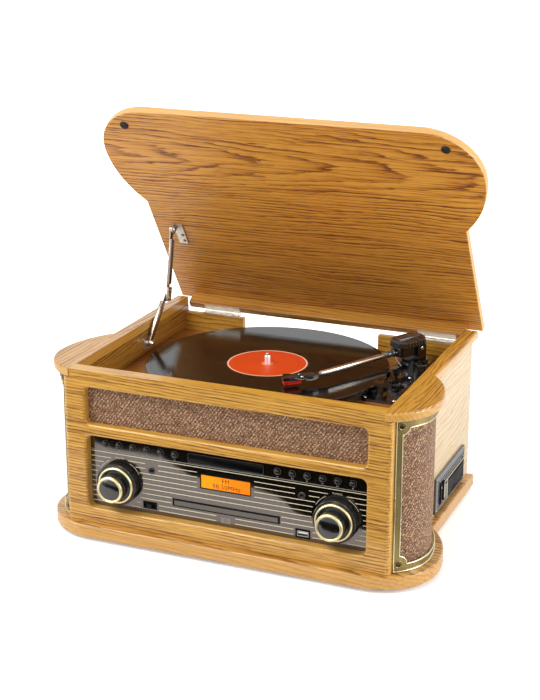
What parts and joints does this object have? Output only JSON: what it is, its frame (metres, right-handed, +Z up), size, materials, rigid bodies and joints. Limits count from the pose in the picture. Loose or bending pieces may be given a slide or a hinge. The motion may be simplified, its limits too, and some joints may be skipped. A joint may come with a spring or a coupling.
{
  "type": "record player",
  "caption": "Wooden table-top record player with an open lobed lid, cloth-covered corner speakers, radio fascia, disc drawer and cassette slot.",
  "frame": {"origin": "on the table under the middle of the part's outline with the lid open, 10.75 mm behind the middle of the base board", "axes": "+X right, +Y back, +Z up; the control front faces -Y"},
  "size_m": [0.486, 0.3645, 0.494],
  "materials": {
    "oak_veneer": "satin lacquered oak veneer with open grain",
    "oak_deck": "satin lacquered oak veneer, in shade",
    "foot_rubber": "black rubber",
    "speaker_cloth": "coarse brown woven cloth",
    "antique_brass": "aged pressed brass",
    "driver_paper": "black paper cones",
    "fascia_gloss": "black gloss with thin cream lines",
    "display_glass": "amber lit display",
    "circuit_green": "circuit board and transformer",
    "socket_metal": "plated sockets",
    "button_black": "black gloss buttons",
    "knob_black": "black knurled knobs with gold rings",
    "inner_plastic": "moulded mechanism housings",
    "drawer_black": "black drawer front",
    "cassette_black": "black moulded cassette bay",
    "arm_black": "black moulded tonearm parts",
    "arm_tube_metal": "bright tonearm tube",
    "cartridge_red": "red cartridge",
    "platter_plastic": "black platter with steel spindle",
    "mat_rubber": "black ribbed mat",
    "record_vinyl": "black grooved disc",
    "label_paper": "plain orange label",
    "drive_metal": "motor, bearing and pulley",
    "hardware_steel": "plated hinges and stay",
    "bumper_rubber": "dark rubber buttons"
  },
  "bodies": {
    "cabinet": {"base_board": "oak_veneer", "rubber_feet": "foot_rubber", "front_panel": "oak_veneer", "side_walls": "oak_veneer", "rear_wall": "oak_veneer", "side_caps": "oak_veneer", "deck_board": "oak_deck", "corner_grilles": "antique_brass", "speaker_cloths": "speaker_cloth", "speaker_drivers": "driver_paper", "fascia_panel": "fascia_gloss", "display_window": "display_glass", "board_and_transformer": "circuit_green", "sockets": "socket_metal", "cd_mechanism": "inner_plastic", "cassette_bezel": "cassette_black", "cassette_mechanism": "inner_plastic", "turntable_drive": "drive_metal", "tonearm_plate": "arm_black", "cabinet_hinge_leaves": "hardware_steel", "stay_wall_bracket": "hardware_steel"},
    "lid": {"lid_board": "oak_veneer", "lid_batten": "oak_veneer", "lid_bumpers": "bumper_rubber", "lid_hardware": "hardware_steel"},
    "stay_lower": {"stay_lower_arm": "hardware_steel"},
    "stay_upper": {"stay_upper_arm": "hardware_steel"},
    "turntable": {"platter": "platter_plastic", "slip_mat": "mat_rubber", "record": "record_vinyl", "record_label": "label_paper"},
    "pulley": {"motor_pulley": "drive_metal"},
    "arm_base": {"tonearm_turret": "arm_black"},
    "arm": {"tonearm_head": "arm_black", "tonearm_tube": "arm_tube_metal", "headshell": "arm_black", "cartridge": "cartridge_red"},
    "clip": {"arm_clip": "arm_black"},
    "cue": {"cue_lever": "arm_black"},
    "speed": {"speed_lever": "arm_black"},
    "auto_stop": {"auto_stop_lever": "arm_black"},
    "volume": {"volume_knob": "knob_black"},
    "tuning": {"tuning_knob": "knob_black"},
    "source_switch": {"function_switch": "button_black"},
    "drawer": {"cd_drawer": "drawer_black"},
    "flap": {"cassette_flap": "cassette_black"},
    "key_stop": {"cassette_key_stop": "cassette_black"},
    "key_wind": {"cassette_key_wind": "cassette_black"},
    "button_left_1_body": {"button_left_1": "button_black"},
    "button_left_2_body": {"button_left_2": "button_black"},
    "button_left_3_body": {"button_left_3": "button_black"},
    "button_left_4_body": {"button_left_4": "button_black"},
    "button_left_5_body": {"button_left_5": "button_black"},
    "button_left_6_body": {"button_left_6": "button_black"},
    "button_right_1_body": {"button_right_1": "button_black"},
    "button_right_2_body": {"button_right_2": "button_black"},
    "button_right_3_body": {"button_right_3": "button_black"},
    "button_right_4_body": {"button_right_4": "button_black"},
    "button_right_5_body": {"button_right_5": "button_black"},
    "button_right_6_body": {"button_right_6": "button_black"}
  },
  "joints": [
    {"name": "lid_hinge", "type": "hinge", "parent": "cabinet", "child": "lid", "pos_m": [0, 0.15805, 0.196], "axis": [1, 0, 0], "range_deg": [0, 57]},
    {"name": "stay_lower_turn", "type": "hinge", "parent": "cabinet", "child": "stay_lower", "pos_m": [-0.1866, 0.02725, 0.186], "axis": [1, 0, 0], "range_deg": [-44, 1]},
    {"name": "stay_upper_turn", "type": "hinge", "parent": "lid", "child": "stay_upper", "pos_m": [-0.1843, 0.09227, 0.32117], "axis": [1, 0, 0], "range_deg": [-1, 31.5]},
    {"name": "platter_spin", "type": "hinge", "parent": "cabinet", "child": "turntable", "pos_m": [-0.0192, 0.01605, 0.17], "axis": [0, 0, -1], "continuous": true},
    {"name": "pulley_spin", "type": "hinge", "parent": "cabinet", "child": "pulley", "pos_m": [-0.08382, -0.03443, 0.17], "axis": [0, 0, -1], "continuous": true},
    {"name": "arm_swing", "type": "hinge", "parent": "cabinet", "child": "arm_base", "pos_m": [0.14, 0.11325, 0.18], "axis": [0, 0, 1], "range_deg": [-15, 27.7]},
    {"name": "arm_lift", "type": "hinge", "parent": "arm_base", "child": "arm", "pos_m": [0.14, 0.11325, 0.198], "axis": [-0.8854, 0.4648, 0], "range_deg": [0, 3]},
    {"name": "cue_turn", "type": "hinge", "parent": "cabinet", "child": "cue", "pos_m": [0.152, 0.08525, 0.183], "axis": [0, 0, 1], "range_deg": [0, 40]},
    {"name": "clip_turn", "type": "hinge", "parent": "cabinet", "child": "clip", "pos_m": [0.148, -0.01675, 0.194], "axis": [0, 1, 0], "range_deg": [-70, 0]},
    {"name": "speed_turn", "type": "hinge", "parent": "cabinet", "child": "speed", "pos_m": [0.134, 0.04725, 0.175], "axis": [0, 0, 1], "range_deg": [-20, 20]},
    {"name": "auto_stop_turn", "type": "hinge", "parent": "cabinet", "child": "auto_stop", "pos_m": [0.15, 0.02325, 0.175], "axis": [0, 0, 1], "range_deg": [-15, 15]},
    {"name": "volume_turn", "type": "hinge", "parent": "cabinet", "child": "volume", "pos_m": [-0.137, -0.15595, 0.074], "axis": [0, -1, 0], "range_deg": [-140, 140]},
    {"name": "tuning_turn", "type": "hinge", "parent": "cabinet", "child": "tuning", "pos_m": [0.137, -0.15595, 0.074], "axis": [0, -1, 0], "range_deg": [-170, 170]},
    {"name": "source_slide", "type": "slide", "parent": "cabinet", "child": "source_switch", "axis": [1, 0, 0], "range_m": [-0.0045, 0.0045]},
    {"name": "drawer_slide", "type": "slide", "parent": "cabinet", "child": "drawer", "axis": [0, -1, 0], "range_m": [0, 0.118]},
    {"name": "flap_turn", "type": "hinge", "parent": "cabinet", "child": "flap", "pos_m": [0.204, 0.09025, 0.0458], "axis": [0, 1, 0], "range_deg": [0, 80], "stiffness_Nm_per_rad": 0.004, "springref_deg": -28.65},
    {"name": "key_stop_press", "type": "slide", "parent": "cabinet", "child": "key_stop", "axis": [-1, 0, 0], "range_m": [0, 0.0025], "stiffness_N_per_m": 400, "springref_m": -0.001},
    {"name": "key_wind_press", "type": "slide", "parent": "cabinet", "child": "key_wind", "axis": [-1, 0, 0], "range_m": [0, 0.0025], "stiffness_N_per_m": 400, "springref_m": -0.001},
    {"name": "button_left_1_press", "type": "slide", "parent": "cabinet", "child": "button_left_1_body", "axis": [0, 1, 0], "range_m": [0, 0.0012], "stiffness_N_per_m": 400, "springref_m": -0.0005},
    {"name": "button_left_2_press", "type": "slide", "parent": "cabinet", "child": "button_left_2_body", "axis": [0, 1, 0], "range_m": [0, 0.0012], "stiffness_N_per_m": 400, "springref_m": -0.0005},
    {"name": "button_left_3_press", "type": "slide", "parent": "cabinet", "child": "button_left_3_body", "axis": [0, 1, 0], "range_m": [0, 0.0012], "stiffness_N_per_m": 400, "springref_m": -0.0005},
    {"name": "button_left_4_press", "type": "slide", "parent": "cabinet", "child": "button_left_4_body", "axis": [0, 1, 0], "range_m": [0, 0.0012], "stiffness_N_per_m": 400, "springref_m": -0.0005},
    {"name": "button_left_5_press", "type": "slide", "parent": "cabinet", "child": "button_left_5_body", "axis": [0, 1, 0], "range_m": [0, 0.0012], "stiffness_N_per_m": 400, "springref_m": -0.0005},
    {"name": "button_left_6_press", "type": "slide", "parent": "cabinet", "child": "button_left_6_body", "axis": [0, 1, 0], "range_m": [0, 0.0012], "stiffness_N_per_m": 400, "springref_m": -0.0005},
    {"name": "button_right_1_press", "type": "slide", "parent": "cabinet", "child": "button_right_1_body", "axis": [0, 1, 0], "range_m": [0, 0.0012], "stiffness_N_per_m": 400, "springref_m": -0.0005},
    {"name": "button_right_2_press", "type": "slide", "parent": "cabinet", "child": "button_right_2_body", "axis": [0, 1, 0], "range_m": [0, 0.0012], "stiffness_N_per_m": 400, "springref_m": -0.0005},
    {"name": "button_right_3_press", "type": "slide", "parent": "cabinet", "child": "button_right_3_body", "axis": [0, 1, 0], "range_m": [0, 0.0012], "stiffness_N_per_m": 400, "springref_m": -0.0005},
    {"name": "button_right_4_press", "type": "slide", "parent": "cabinet", "child": "button_right_4_body", "axis": [0, 1, 0], "range_m": [0, 0.0012], "stiffness_N_per_m": 400, "springref_m": -0.0005},
    {"name": "button_right_5_press", "type": "slide", "parent": "cabinet", "child": "button_right_5_body", "axis": [0, 1, 0], "range_m": [0, 0.0012], "stiffness_N_per_m": 400, "springref_m": -0.0005},
    {"name": "button_right_6_press", "type": "slide", "parent": "cabinet", "child": "button_right_6_body", "axis": [0, 1, 0], "range_m": [0, 0.0012], "stiffness_N_per_m": 400, "springref_m": -0.0005}
  ],
  "couplings": [
    {"joint": "stay_lower_turn", "follows": "lid_hinge", "ratio": -0.76624},
    {"joint": "stay_upper_turn", "follows": "lid_hinge", "ratio": 0.54447},
    {"joint": "pulley_spin", "follows": "platter_spin", "ratio": 10},
    {"joint": "arm_lift", "follows": "cue_turn", "ratio": 0.075}
  ]
}
